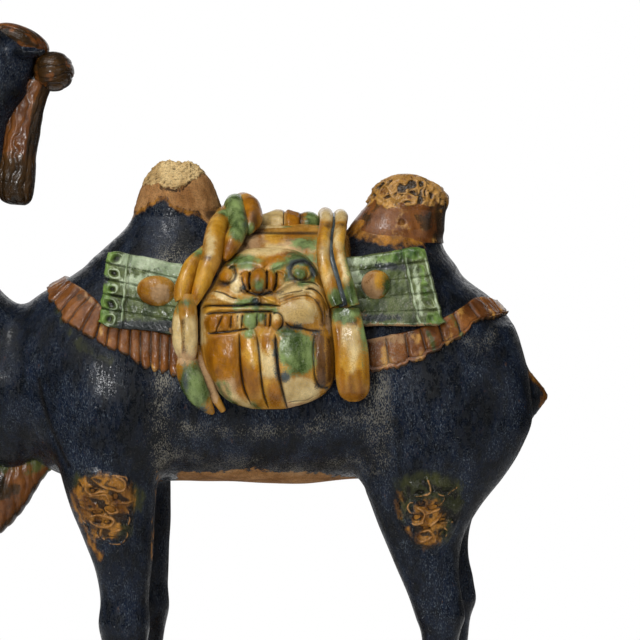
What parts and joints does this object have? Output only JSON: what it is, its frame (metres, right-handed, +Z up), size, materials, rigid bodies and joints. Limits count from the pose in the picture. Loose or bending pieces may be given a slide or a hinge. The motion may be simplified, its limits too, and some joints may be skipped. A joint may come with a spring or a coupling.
{
  "type": "sancai camel figure",
  "caption": "Glazed earthenware figure of a standing two-humped camel with saddle boards, pack bags and cords, on a low rectangular base.",
  "frame": {"origin": "centre of the base's underside", "axes": "+Z up, -X the way the camel faces, +Y towards its right flank"},
  "size_m": [0.7227, 0.2932, 0.8234],
  "materials": {
    "glazed_earthenware": "glossy cobalt, amber, green and cream lead glazes that have run, with bare buff clay at the broken hump, the belly and the feet"
  },
  "bodies": {
    "root": {"sancai_camel": "glazed_earthenware"}
  },
  "joints": []
}
